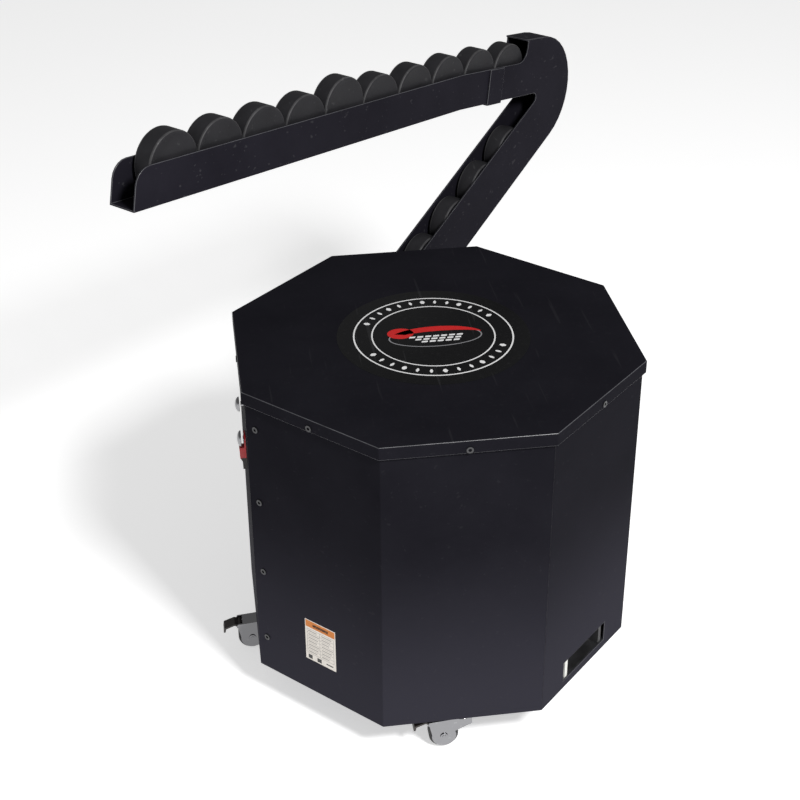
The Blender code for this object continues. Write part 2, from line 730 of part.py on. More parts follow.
# ------------------------------------------------------------------- controls
def make_controls():
    """Each is turned about a line square to the control panel."""
    place = face_place(180, -control_side, button_height)
    low = button_travel + 0.0005
    r, d = button_radius, button_dome
    stem = 0.0045
    profile = [(0, low + d), (r * 0.45, low + d * 0.93), (r * 0.78, low + d * 0.72),
               (r * 0.96, low + d * 0.36), (r, low), (stem, low), (stem, -0.010),
               (0, -0.010)]
    smooth(turned_piece("push_button", profile, 24, chrome, place))

    place = face_place(180, -control_side, isolator_height)
    neck = gap * 2 + lever_sheet + gap * 2
    r, d = isolator_radius, isolator_dome
    pin = isolator_neck - 0.0005
    profile = [(0, neck + d), (r * 0.45, neck + d * 0.93), (r * 0.78, neck + d * 0.72),
               (r * 0.96, neck + d * 0.36), (r, neck), (pin, neck), (pin, -0.008),
               (0, -0.008)]
    smooth(turned_piece("isolator_boss", profile, 24, chrome, place))

    low = 2 * gap
    eye = isolator_radius - 0.0015
    reach = isolator_radius + gap * 2
    back = 0.0015
    tongue = rounded([(-eye * 0.7, -back), (-eye, eye * 0.2, 0.002), (-eye * 0.6, eye, 0.003),
                      (eye * 0.6, eye, 0.003), (eye, eye * 0.2, 0.002), (eye * 0.7, -back),
                      (lever_width / 2, -reach - 0.008), (-lever_width / 2, -reach - 0.008)])
    hole = circle((0, 0), isolator_neck, 16)
    centre = place @ Matrix.Translation((0, 0, low + lever_sheet / 2))
    lever = prism("isolator_lever", [tongue, hole], lever_sheet, red_plastic, centre)
    w = lever_width / 2
    grip_side = [(low, -reach), (low + 0.0085, -reach), (low + 0.0080, -reach - 0.015),
                 (low + 0.0052, -reach - 0.021), (low + 0.0048, -lever_length),
                 (low + 0.0005, -lever_length), (low, -reach - 0.018)]
    # side view drawn in (out, up), turned so its thickness lies along the panel
    turned = Matrix(((0, 0, 1, 0), (0, 1, 0, 0), (-1, 0, 0, 0), (0, 0, 0, 1))).inverted()
    grip = prism("lever_grip", [grip_side], 2 * w, place=place @ turned, cutter=True)
    join(lever, grip)
    taper = [(-w - 0.0005, -reach - 0.012), (-w * 0.45, -lever_length - 0.001),
             (-w * 2.5, -lever_length - 0.001)]
    for sign in (-1, 1):
        wedge = prism("lever_taper_%d" % (sign + 1),
                      [[(sign * x, y) for x, y in taper]], 0.04, place=place, cutter=True)
        cut(lever, wedge)


# -------------------------------------------------------------------- casters
def make_caster(name, azimuth):
    a = math.radians(azimuth)
    post = Vector((caster_ring_radius * math.cos(a), caster_ring_radius * math.sin(a), 0))
    top = -gap
    axle = Vector((-caster_trail, -caster_height + caster_wheel_radius))
    inside = caster_wheel_width + 2 * turn_clearance
    wide = inside + 2 * caster_cheek
    # X back and forth, Y up, Z across the wheel
    upright = Matrix(((1, 0, 0, post.x), (0, 0, -1, post.y), (0, 1, 0, post.z), (0, 0, 0, 1)))
    at_post = Matrix.Translation(post)

    hinge = Vector((axle.x - 0.0165, -0.0120))
    r = caster_cheek_radius
    left = [(hinge.x - 0.0050, hinge.y - 0.001, 0.002), (hinge.x - 0.003, hinge.y + 0.0050, 0.002),
            (-0.012, -0.0045, 0.002), (0.0125, -0.0045, 0.002), (0.0135, -0.016, 0.004)]
    lower = arc(axle, r, math.radians(25), math.radians(-190), 14)
    outline = rounded([p for p in left]) + [Vector(p) for p in lower]
    fork = prism(name + "_fork", [outline], wide, chrome, upright)
    room = caster_wheel_radius + tyre_clearance
    hollow = circle(axle, room, 28)
    cut(fork, prism(name + "_wheel_room", [hollow], inside, place=upright, cutter=True))
    barrel = pedal_barrel_radius + turn_clearance
    nook = [(hinge.x - 0.02, hinge.y - 0.012), (hinge.x + barrel, hinge.y - 0.012),
            (hinge.x + barrel, hinge.y + 0.02), (hinge.x - 0.02, hinge.y + 0.02)]
    cut(fork, prism(name + "_pedal_room", [nook], inside, place=upright, cutter=True))
    head = turned_piece(name + "_head", [(0, top), (caster_head_radius * 0.92, top),
                                         (caster_head_radius, top - 0.0012),
                                         (caster_head_radius, top - 0.0030),
                                         (caster_head_radius * 0.8, top - 0.0058),
                                         (0, top - 0.0058)], 24, place=at_post, cutter=True)
    join(fork, head)
    stem = turned_piece(name + "_stem", [(0, base_flange_height - 0.002),
                                         (caster_stem_radius, base_flange_height - 0.002),
                                         (caster_stem_radius, top - 0.003),
                                         (0, top - 0.003)], 16, place=at_post, cutter=True)
    join(fork, stem)
    pin = prism(name + "_axle", [circle(axle, caster_axle_radius, 12)],
                inside + caster_cheek, place=upright, cutter=True)
    join(fork, pin)
    pedal_pin = prism(name + "_pedal_pin", [circle(hinge, pedal_pin_radius, 8)],
                      inside + caster_cheek, place=upright, cutter=True)
    join(fork, pedal_pin)

    at_axle = upright @ Matrix.Translation((axle.x, axle.y, 0))
    w, rw = caster_wheel_width / 2, caster_wheel_radius
    bore = caster_axle_radius + turn_clearance
    profile = [(rw - 0.0015, w - 0.0015), (rw, w - 0.0045), (rw, -w + 0.0045),
               (rw - 0.0015, -w + 0.0015), (rw - 0.007, -w), (bore, -w), (bore, w),
               (rw - 0.007, w)]
    smooth(turned_piece(name + "_wheel", profile, 24, wheel_rubber, at_axle, ring=True))

    at_hinge = upright @ Matrix.Translation((hinge.x, hinge.y, 0))
    reach = -(pedal_reach + hinge.x)
    t = pedal_sheet
    b = pedal_barrel_radius
    tread = rounded([(0, b * 0.7), (-0.007, b + 0.0012, 0.003), (reach, -0.001), (reach - 0.001, -0.008),
                     (reach + t - 0.001, -0.008), (reach + t, -0.0015 - t * 0.5, 0.0015),
                     (-0.007, b + 0.0012 - t), (-b * 0.5, -b * 0.3), (0, -b * 0.3)])
    wide_pedal = caster_wheel_width
    pedal = prism(name + "_pedal", [tread], wide_pedal, pedal_plastic, at_hinge)
    join(pedal, prism(name + "_barrel", [circle((0, 0), b, 16)], wide_pedal - 0.0004,
                      place=at_hinge, cutter=True))
    cut(pedal, prism(name + "_barrel_bore", [circle((0, 0), pedal_pin_radius + 0.0004, 10)],
                     0.04, place=at_hinge, cutter=True))


# ---------------------------------------------------------------- drive inside
def belt_loop(near, near_radius, far, far_radius, grow):
    """Outline of a belt round two pulleys."""
    near, far = Vector(near), Vector(far)
    line = far - near
    heading = math.atan2(line.y, line.x)
    lean = math.acos((near_radius - far_radius) / line.length)
    points = arc(far, far_radius + grow, heading - lean, heading + lean, 14)
    points += arc(near, near_radius + grow, heading + lean, heading + 2 * math.pi - lean, 18)
    return points


def make_drive():
    at = path_place(drive_across, drive_out, 0)
    hub_low = drive_wheel_bottom
    hub_high = hub_low + drive_wheel_thickness
    pulley_top = pulley_bottom + pulley_height
    shaft_top = bridge_bottom + bridge_thickness + 0.016
    profile = [(0, shaft_top), (spindle_radius, shaft_top), (spindle_radius, pulley_top),
               (drive_pulley_radius, pulley_top), (drive_pulley_radius, pulley_bottom),
               (spindle_radius, pulley_bottom), (spindle_radius, hub_high),
               (drive_hub_radius, hub_high), (drive_hub_radius, hub_low), (0, hub_low)]
    turned_piece("drive_spindle", profile, 28, bare_steel, at)
    r = drive_tyre_radius
    inner = drive_hub_radius + gap
    profile = [(r - 0.002, hub_high), (r, hub_high - 0.002), (r, hub_low + 0.002),
               (r - 0.002, hub_low), (inner, hub_low), (inner, hub_high)]
    smooth(turned_piece("drive_tyre", profile, 36, drive_rubber, at, ring=True))

    bridge_top = bridge_bottom + bridge_thickness
    low = bridge_top + gap
    bore = spindle_radius + turn_clearance
    seat = bridge_top - 0.001
    profile = [(0.016, shaft_top), (0.020, low + 0.004), (0.026, low + 0.004), (0.026, seat),
               (bore, seat), (bore, shaft_top)]
    bearing = turned_piece("bearing", profile, 24, place=at, cutter=True, ring=True)

    at_motor = path_place(motor_across, motor_out, 0)
    profile = [(0.012, low + motor_height), (motor_radius - 0.004, low + motor_height),
               (motor_radius, low + motor_height - 0.004), (motor_radius, low + 0.003),
               (motor_radius - 0.003, low), (0, low)]
    profile = [(0, low + motor_height + 0.004), (0.012, low + motor_height + 0.004)] + profile
    turned_piece("drive_motor", profile, 28, motor_shell, at_motor)
    profile = [(0, bridge_top), (0.005, bridge_top), (0.005, pulley_top),
               (motor_pulley_radius, pulley_top), (motor_pulley_radius, pulley_bottom),
               (0, pulley_bottom)]
    turned_piece("motor_pulley", profile, 24, bare_steel, at_motor)

    middle = pulley_bottom + pulley_height / 2
    near, far = (drive_across, drive_out), (motor_across, motor_out)
    outer = belt_loop(near, drive_pulley_radius, far, motor_pulley_radius,
                      gap * 2 + belt_thickness)
    inner = belt_loop(near, drive_pulley_radius, far, motor_pulley_radius, gap * 2)
    prism("drive_belt", [outer, inner], belt_width, drive_rubber,
          path_place(0, 0, middle))

    x0, x1, y0, y1 = -0.060, 0.150, 0.040, 0.180
    sheet_outline = rounded([(x0, y0, 0.006), (x1, y0, 0.006), (x1, y1, 0.006),
                             (x0, y1, 0.006)])
    holes = [circle(near, spindle_radius + 0.002, 20), circle(far, 0.009, 16)]
    bridge = prism("motor_bridge", [sheet_outline] + holes, bridge_thickness, bare_steel,
                   path_place(0, 0, bridge_bottom + bridge_thickness / 2))
    for i, x in enumerate((x0 + 0.0005, x1 - bridge_leg - 0.0005)):
        for k, y in enumerate((y0 + 0.0005, y1 - bridge_leg - 0.0005)):
            leg = block("bridge_leg_%d%d" % (i, k), (x, y, deck_top + gap),
                        (x + bridge_leg, y + bridge_leg, bridge_bottom + 0.002),
                        place=path_place(), cutter=True)
            join(bridge, leg)
    join(bridge, bearing)


def make_guides():
    high = outlet_bottom + outlet_height
    low = deck_top + gap
    far = inner_half - gap
    at = path_place()
    block("guide_rail", (-0.060, -rail_inset - rail_thickness, low),
          (far, -rail_inset, high), rail_plastic, at)
    side = rail_inset + 0.0015
    block("outlet_guide", (0.158, side, low), (far, side + rail_thickness, high),
          rail_plastic, at)


def make_feeder():
    at = path_place(star_across, star_out, 0)
    low, high = deck_top + 0.004, deck_top + 0.024
    hub = turned_piece("feed_star", [(0, high + 0.004), (0.012, high + 0.004), (0.012, low),
                                     (0, low)], 20, rail_plastic, at)
    middle = (low + high) / 2
    for number in range(4):
        a = math.radians(90 * number + 20)
        spin = at @ Matrix.Rotation(a, 4, "Z") @ Matrix.Translation((0, 0, middle))
        arm = [(0.006, -0.007), (star_radius - 0.012, -0.004), (star_radius, -0.010, 0.002),
               (star_radius - 0.002, 0.004, 0.002), (star_radius - 0.014, 0.005), (0.006, 0.007)]
        join(hub, prism("star_arm_%d" % number, [rounded(arm)], high - low, place=spin,
                        cutter=True))
    floor = high + 0.004 + gap * 2
    plate_low = floor
    long, wide, t = 0.070, 0.018, 0.004
    stand = block("feed_motor", (-long, -wide, plate_low), (long, wide, plate_low + t),
                  motor_shell, at)
    for number, x in enumerate((-long + 0.0003, long - 0.0083)):
        leg = block("feed_leg_%d" % number, (x, -wide + 0.001, deck_top + gap),
                    (x + 0.008, wide - 0.001, plate_low + t / 2), place=at, cutter=True)
        join(stand, leg)
    can = turned_piece("feed_can", [(0, plate_low + 0.052), (0.018, plate_low + 0.052),
                                    (0.020, plate_low + 0.050), (0.020, plate_low + t / 2),
                                    (0, plate_low + t / 2)], 20, place=at, cutter=True)
    join(stand, can)


def make_drop_chute():
    """Open shaft that takes the pucks from the arm's end down to the deck."""
    half_long, half_wide, wall = 0.046, 0.030, 0.002
    end = on_arm(arm_length, bend_radius)
    low, high, back = 0.060, end.y - 0.0216, end.y + 0.0634
    at = path_place(chute_side, end.x - 0.0624, 0)
    shaft = block("drop_chute", (-half_wide, -half_long, low), (half_wide, half_long, high),
                  bare_steel, at)
    stop = block("drop_back", (-half_wide, -half_long, high - 0.01),
                 (half_wide, -half_long + wall, back), place=at, cutter=True)
    join(shaft, stop)
    cut(shaft, block("drop_hollow", (-half_wide + wall, -half_long + wall, low - 0.01),
                     (half_wide - wall, half_long - wall, back + 0.01), place=at,
                     cutter=True))
    for number, y in enumerate((-half_long, half_long - 0.010)):
        leg = block("drop_leg_%d" % number, (-half_wide - 0.003, y, deck_top + gap),
                    (-half_wide + wall / 2, y + 0.010, low + 0.040), place=at, cutter=True)
        join(shaft, leg)


def make_boxes():
    low = deck_top + gap
    block("battery_pack", (-0.015, -0.180, low), (0.135, -0.100, low + 0.095), box_plastic,
          path_place(), bevel=0.003)
    wall = -inner_half + gap + 0.012
    block("control_box", (wall, control_side - 0.045, isolator_height - 0.035),
          (wall + 0.050, control_side + 0.045, button_height + 0.0055), box_plastic,
          bevel=0.002)


def main():
    make_base()
    make_skins()
    make_inner_frame()
    make_lid()
    make_inlet_flange()
    make_controls()
    for name, azimuth in (("caster_front", -90), ("caster_left", 180),
                          ("caster_rear", 90), ("caster_right", 0)):
        make_caster(name, azimuth)
    make_chute_arm()
    make_chute_tray()
    make_saddle()
    make_pucks()
    make_drive()
    make_guides()
    make_feeder()
    make_drop_chute()
    make_boxes()


main()
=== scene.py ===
"""The look of the puck passing machine: a black powder-coated cabinet on chrome
casters, with its loaded gravity chute, on a pale studio floor."""

import math

import bpy
from mathutils import Matrix, Vector


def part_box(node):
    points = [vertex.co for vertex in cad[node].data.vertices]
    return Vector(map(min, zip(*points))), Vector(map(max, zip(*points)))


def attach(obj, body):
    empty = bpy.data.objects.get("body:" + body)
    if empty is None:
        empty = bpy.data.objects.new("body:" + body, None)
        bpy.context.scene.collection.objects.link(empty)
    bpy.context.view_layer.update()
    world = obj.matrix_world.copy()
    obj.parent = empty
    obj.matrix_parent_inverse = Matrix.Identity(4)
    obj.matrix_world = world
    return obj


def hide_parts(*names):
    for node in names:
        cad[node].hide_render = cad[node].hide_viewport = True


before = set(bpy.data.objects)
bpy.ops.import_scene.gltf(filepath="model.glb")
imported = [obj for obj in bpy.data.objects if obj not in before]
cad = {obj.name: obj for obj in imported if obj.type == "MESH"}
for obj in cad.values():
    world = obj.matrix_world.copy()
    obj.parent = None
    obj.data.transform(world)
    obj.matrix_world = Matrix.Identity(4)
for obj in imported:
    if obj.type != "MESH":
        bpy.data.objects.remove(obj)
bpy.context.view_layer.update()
scene = bpy.context.scene
scene.view_settings.view_transform = "Standard"
scene.view_settings.look = "None"

# painted light: the height band over which a finish is painted lighter towards the floor, standing
# in for the floor's glow
PAINTED_FLOOR_LIGHT_TOP = 0.30
PAINTED_FLOOR_LIGHT_FOOT = 0.0
LEVEL = math.sqrt(0.5)
lid_low, lid_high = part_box("lid")
lid_half = lid_high.x
lid_top = lid_high.z
skin_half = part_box("right_skin")[1].x
floor_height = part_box("caster_front_wheel")[0].z
chute_out = Vector((LEVEL, LEVEL, 0.0))
chute_near = Vector((LEVEL, -LEVEL, 0.0))


# --------------------------------------------------------------- camera, stage
def set_up_camera():
    data = bpy.data.cameras.new("camera")
    camera = bpy.data.objects.new("camera", data)
    scene.collection.objects.link(camera)
    yaw, pitch, roll = math.radians(-8.144), math.radians(29.471), math.radians(-0.294)
    back = Vector((math.sin(yaw) * math.cos(pitch), -math.cos(yaw) * math.cos(pitch),
                   math.sin(pitch)))
    side = Vector((0, 0, 1)).cross(back).normalized()
    up = back.cross(side)
    right = side * math.cos(roll) + up * math.sin(roll)
    top = up * math.cos(roll) - side * math.sin(roll)
    turn = Matrix((right, top, back)).transposed()
    camera.matrix_world = Matrix.Translation((-0.2862, -1.6996, 1.3696)) @ turn.to_4x4()
    data.sensor_width = 36.0
    data.lens = 69.72
    data.shift_y = -0.06
    data.clip_start = 0.05
    data.clip_end = 50.0
    scene.camera = camera


def soft_light(name, spot, aim, wide, watts, tint=(1.0, 1.0, 1.0)):
    data = bpy.data.lights.new(name, "AREA")
    data.shape = "SQUARE"
    data.size = wide
    data.energy = watts
    data.color = tint
    lamp = bpy.data.objects.new(name, data)
    scene.collection.objects.link(lamp)
    lamp.location = spot
    lamp.rotation_mode = "QUATERNION"
    lamp.rotation_quaternion = (Vector(aim) - Vector(spot)).to_track_quat("-Z", "Y")


def light_the_studio():
    soft_light("key_light", (1.05, -2.1, 2.6), (0, 0, 0.1), 0.6, 105)
    soft_light("side_fill", (-2.4, -1.6, 0.7), (0, 0, 0.15), 1.6, 10)
    world = bpy.data.worlds.new("studio_air")
    scene.world = world
    world.use_nodes = True
    sky = world.node_tree.nodes["Background"]
    sky.inputs["Color"].default_value = (1.0, 1.0, 1.0, 1.0)
    sky.inputs["Strength"].default_value = 0.24


# ------------------------------------------------------------------ node groups
def open_group(name, sockets_in, sockets_out):
    group = bpy.data.node_groups.new(name, "ShaderNodeTree")
    for label, kind, value in sockets_in:
        made = group.interface.new_socket(label, in_out="INPUT", socket_type=kind)
        if value is not None:
            made.default_value = value
    for label, kind in sockets_out:
        group.interface.new_socket(label, in_out="OUTPUT", socket_type=kind)
    entry = group.nodes.new("NodeGroupInput")
    leave = group.nodes.new("NodeGroupOutput")
    return group, entry, leave


def ramp(nodes, stops):
    node = nodes.new("ShaderNodeValToRGB")
    node.color_ramp.elements[0].position = stops[0][0]
    node.color_ramp.elements[0].color = (*[stops[0][1]] * 3, 1)
    node.color_ramp.elements[1].position = stops[-1][0]
    node.color_ramp.elements[1].color = (*[stops[-1][1]] * 3, 1)
    for place, level in stops[1:-1]:
        node.color_ramp.elements.new(place).color = (level, level, level, 1)
    return node


def math_node(tree, kind, a, b=None, clamp=False):
    node = tree.nodes.new("ShaderNodeMath")
    node.operation = kind
    node.use_clamp = clamp
    for slot, value in enumerate((a, b)):
        if value is None:
            continue
        if isinstance(value, (int, float)):
            node.inputs[slot].default_value = value
        else:
            tree.links.new(value, node.inputs[slot])
    return node.outputs[0]


def make_powder_grain():
    """Orange peel of a powder coat, with slow clouds of gloss."""
    group, entry, leave = open_group(
        "powder_grain",
        [("Vector", "NodeSocketVector", None), ("Grain Scale", "NodeSocketFloat", 620.0),
         ("Cloud Scale", "NodeSocketFloat", 9.0)],
        [("Height", "NodeSocketFloat"), ("Cloud", "NodeSocketFloat")])
    nodes, links = group.nodes, group.links
    fine = nodes.new("ShaderNodeTexNoise")
    fine.inputs["Detail"].default_value = 3.0
    fine.inputs["Roughness"].default_value = 0.55
    links.new(entry.outputs["Vector"], fine.inputs["Vector"])
    links.new(entry.outputs["Grain Scale"], fine.inputs["Scale"])
    slow = nodes.new("ShaderNodeTexNoise")
    slow.inputs["Detail"].default_value = 4.0
    slow.inputs["Roughness"].default_value = 0.6
    links.new(entry.outputs["Vector"], slow.inputs["Vector"])
    links.new(entry.outputs["Cloud Scale"], slow.inputs["Scale"])
    soften = ramp(nodes, [(0.30, 0.0), (0.72, 1.0)])
    links.new(slow.outputs["Fac"], soften.inputs["Fac"])
    links.new(fine.outputs["Fac"], leave.inputs["Height"])
    links.new(soften.outputs["Color"], leave.inputs["Cloud"])
    return group


def make_dust_and_scuffs():
    """Dust that settles on top, and thin handling scratches."""
    group, entry, leave = open_group(
        "dust_and_scuffs",
        [("Vector", "NodeSocketVector", None), ("Dust", "NodeSocketFloat", 0.5),
         ("Scuffs", "NodeSocketFloat", 0.5)],
        [("Dust Mask", "NodeSocketFloat"), ("Scuff Mask", "NodeSocketFloat")])
    nodes, links = group.nodes, group.links
    specks = nodes.new("ShaderNodeTexNoise")
    specks.inputs["Scale"].default_value = 160.0
    specks.inputs["Detail"].default_value = 6.0
    specks.inputs["Roughness"].default_value = 0.75
    links.new(entry.outputs["Vector"], specks.inputs["Vector"])
    speck_step = ramp(nodes, [(0.56, 0.0), (0.74, 1.0)])
    links.new(specks.outputs["Fac"], speck_step.inputs["Fac"])
    facing = nodes.new("ShaderNodeNewGeometry")
    upward = nodes.new("ShaderNodeSeparateXYZ")
    links.new(facing.outputs["Normal"], upward.inputs["Vector"])
    settle = math_node(group, "MULTIPLY_ADD", upward.outputs["Z"], 0.7, clamp=True)
    settle.node.inputs[2].default_value = 0.25
    dust = math_node(group, "MULTIPLY", speck_step.outputs["Color"], settle)
    dust = math_node(group, "MULTIPLY", dust, entry.outputs["Dust"], clamp=True)
    links.new(dust, leave.inputs["Dust Mask"])
    lines = []
    for turn, scale in ((0.5, 60.0), (2.1, 45.0)):
        lay = nodes.new("ShaderNodeMapping")
        lay.inputs["Rotation"].default_value = (turn, turn * 0.6, turn)
        lay.inputs["Scale"].default_value = (scale, scale * 0.04, scale)
        links.new(entry.outputs["Vector"], lay.inputs["Vector"])
        hair = nodes.new("ShaderNodeTexNoise")
        hair.inputs["Scale"].default_value = 3.0
        hair.inputs["Detail"].default_value = 2.0
        links.new(lay.outputs["Vector"], hair.inputs["Vector"])
        thin = ramp(nodes, [(0.70, 0.0), (0.73, 1.0)])
        links.new(hair.outputs["Fac"], thin.inputs["Fac"])
        lines.append(thin.outputs["Color"])
    both = math_node(group, "MAXIMUM", lines[0], lines[1])
    both = math_node(group, "MULTIPLY", both, entry.outputs["Scuffs"], clamp=True)
    links.new(both, leave.inputs["Scuff Mask"])
    return group


powder_grain = make_powder_grain()
dust_and_scuffs = make_dust_and_scuffs()


# -------------------------------------------------------------------- materials
def blank_material(name):
    mat = bpy.data.materials.new(name)
    mat.use_nodes = True
    tree = mat.node_tree
    return mat, tree, tree.nodes["Principled BSDF"]


def mix_colour(tree, mask, one, two):
    node = tree.nodes.new("ShaderNodeMix")
    node.data_type = "RGBA"
    tree.links.new(mask, node.inputs["Factor"])
    for socket, value in ((node.inputs[6], one), (node.inputs[7], two)):
        if isinstance(value, tuple):
            socket.default_value = (*value, 1.0)
        else:
            tree.links.new(value, socket)
    return node.outputs[2]


def surface(name, colour, roughness, metallic=0.0, specular=0.5, cloud=0.25, dust=0.3,
            scuffs=0.2, dust_colour=(0.16, 0.16, 0.165), scuff_colour=(0.09, 0.09, 0.095),
            grain_scale=620.0, cloud_scale=9.0, bump=0.12, rough_spread=0.10, coat=0.0,
            painted_floor_light=0.0):
    """One finish, with its grain, clouds of gloss, dust and scratches. Its last argument is
    how much lighter the finish is painted near the floor: a painted glow of floor light."""
    mat, tree, shader = blank_material(name)
    where = tree.nodes.new("ShaderNodeTexCoord")
    grain = tree.nodes.new("ShaderNodeGroup")
    grain.node_tree = powder_grain
    grain.inputs["Grain Scale"].default_value = grain_scale
    grain.inputs["Cloud Scale"].default_value = cloud_scale
    tree.links.new(where.outputs["Object"], grain.inputs["Vector"])
    worn = tree.nodes.new("ShaderNodeGroup")
    worn.node_tree = dust_and_scuffs
    worn.inputs["Dust"].default_value = dust
    worn.inputs["Scuffs"].default_value = scuffs
    tree.links.new(where.outputs["Object"], worn.inputs["Vector"])
    lighter = tuple(min(1.0, c * (1 + cloud) + cloud * 0.004) for c in colour)
    paint = mix_colour(tree, grain.outputs["Cloud"], colour, lighter)
    # painted light: the finish is painted lighter towards the floor, standing in for light from the
    # floor on the lower part
    if painted_floor_light:
        height = tree.nodes.new("ShaderNodeSeparateXYZ")
        tree.links.new(where.outputs["Object"], height.inputs["Vector"])
        reach = tree.nodes.new("ShaderNodeMapRange")
        reach.interpolation_type = "SMOOTHSTEP"
        reach.inputs["From Min"].default_value = PAINTED_FLOOR_LIGHT_TOP
        reach.inputs["From Max"].default_value = PAINTED_FLOOR_LIGHT_FOOT
        tree.links.new(height.outputs["Z"], reach.inputs["Value"])
        floor_lit_paint = tuple(c * (1 + painted_floor_light) for c in lighter)
        paint = mix_colour(tree, reach.outputs["Result"], paint, floor_lit_paint)
    paint = mix_colour(tree, worn.outputs["Scuff Mask"], paint, scuff_colour)
    paint = mix_colour(tree, worn.outputs["Dust Mask"], paint, dust_colour)
    tree.links.new(paint, shader.inputs["Base Color"])
    spread = math_node(tree, "MULTIPLY", grain.outputs["Cloud"], rough_spread)
    base = math_node(tree, "ADD", spread, roughness - rough_spread / 2)
    dusty = math_node(tree, "MULTIPLY", worn.outputs["Dust Mask"], 0.35)
    tree.links.new(math_node(tree, "ADD", base, dusty, clamp=True), shader.inputs["Roughness"])
    relief = tree.nodes.new("ShaderNodeBump")
    relief.inputs["Strength"].default_value = bump
    relief.inputs["Distance"].default_value = 0.0004
    tree.links.new(grain.outputs["Height"], relief.inputs["Height"])
    tree.links.new(relief.outputs["Normal"], shader.inputs["Normal"])
    shader.inputs["Metallic"].default_value = metallic
    shader.inputs["Specular IOR Level"].default_value = specular
    shader.inputs["Coat Weight"].default_value = coat
    return mat


def plain_ink(name, colour, roughness=0.45):
    return surface(name, colour, roughness, cloud=0.08, dust=0.12, scuffs=0.05, bump=0.03,
                   specular=0.3)


# the cabinet coat is painted lighter near the floor, a painted glow of floor light
black_coat = surface("cabinet_powder_coat", (0.0086, 0.0083, 0.0112), 0.52, specular=0.004,
                     cloud=0.25, dust=0.03, scuffs=0.06, painted_floor_light=1.5)
# painted highlight: the rounded fold edges are coloured lighter than the coat, standing in for
# light caught on the folds; the scratches on them are real wear
fold_edge_wear_and_highlight = surface("fold_edge_scuffs_and_painted_highlight", (0.045, 0.045, 0.050), 0.30, specular=0.5, dust=0.0,
                    scuffs=0.4, scuff_colour=(0.12, 0.12, 0.125), cloud=0.8, cloud_scale=40.0)
chute_coat = surface("chute_powder_coat", (0.0094, 0.0088, 0.0126), 0.50, specular=0.012,
                     cloud=0.35, dust=0.015, scuffs=0.22)
zinc = surface("zinc_plate", (0.50, 0.50, 0.52), 0.34, metallic=1.0, dust=0.2, scuffs=0.6,
               scuff_colour=(0.62, 0.62, 0.62), cloud=0.12, cloud_scale=60.0, bump=0.06)
chrome = surface("bright_chrome", (0.27, 0.27, 0.28), 0.10, metallic=1.0, dust=0.15,
                 scuffs=0.2, scuff_colour=(0.55, 0.55, 0.56), cloud=0.05, bump=0.01,
                 rough_spread=0.06, dust_colour=(0.25, 0.24, 0.23))
dark_screw = surface("blackened_screw", (0.06, 0.06, 0.062), 0.32, metallic=1.0, dust=0.2,
                     scuffs=0.5, cloud=0.3, cloud_scale=200.0)
puck_black = surface("puck_rubber", (0.0135, 0.0132, 0.0150), 0.60, specular=0.14,
                     cloud=0.45, cloud_scale=30.0, dust=0.15, scuffs=0.5,
                     scuff_colour=(0.045, 0.045, 0.046), dust_colour=(0.055, 0.054, 0.052),
                     grain_scale=900.0, bump=0.35, rough_spread=0.16)
puck_rim = surface("puck_worn_rim", (0.030, 0.0295, 0.031), 0.50, specular=0.25, cloud=0.9,
                   cloud_scale=70.0, dust=0.3, scuffs=0.8, scuff_colour=(0.09, 0.09, 0.092))
wheel_black = surface("wheel_rubber", (0.020, 0.020, 0.021), 0.55, specular=0.35, dust=0.6,
                      scuffs=0.3, cloud=0.4, cloud_scale=80.0)
pedal_dark = surface("pedal_plastic", (0.018, 0.013, 0.011), 0.42, dust=0.4, scuffs=0.4,
                     cloud=0.3, cloud_scale=60.0)
lever_red = surface("lever_red", (0.42, 0.006, 0.010), 0.34, dust=0.1, scuffs=0.3,
                    scuff_colour=(0.55, 0.05, 0.05), cloud=0.2, cloud_scale=60.0, coat=0.2)
tip_black = surface("lever_tip_black", (0.015, 0.013, 0.013), 0.5, dust=0.2)
drive_grey = surface("drive_rubber", (0.035, 0.035, 0.036), 0.75, dust=0.5, scuffs=0.4)
motor_grey = surface("motor_paint", (0.07, 0.07, 0.075), 0.4, metallic=0.3, dust=0.4)
box_grey = surface("box_plastic", (0.05, 0.05, 0.055), 0.5, dust=0.3)
rail_white = surface("rail_plastic", (0.62, 0.62, 0.58), 0.45, dust=0.4, scuffs=0.8,
                     scuff_colour=(0.10, 0.10, 0.10))
# painted shade: the outlet guide is coloured near-black to stand in for the shade inside the outlet
# slot
guide_painted_shade = surface("outlet_guide_painted_shade", (0.012, 0.012, 0.013), 0.5, dust=0.3)
badge_black = surface("badge_film", (0.006, 0.006, 0.0065), 0.36, specular=0.08, cloud=0.1,
                      dust=0.06, scuffs=0.1, bump=0.02)
badge_white = plain_ink("badge_white_ink", (0.72, 0.72, 0.72))
badge_red = plain_ink("badge_red_ink", (0.50, 0.012, 0.012))
badge_grey = plain_ink("badge_grey_ink", (0.22, 0.22, 0.23))
label_paper = plain_ink("label_paper", (0.66, 0.62, 0.57))
label_orange = plain_ink("label_orange_ink", (0.52, 0.16, 0.02))
label_black = plain_ink("label_black_ink", (0.03, 0.03, 0.03))
label_grey = plain_ink("label_grey_ink", (0.30, 0.28, 0.26))


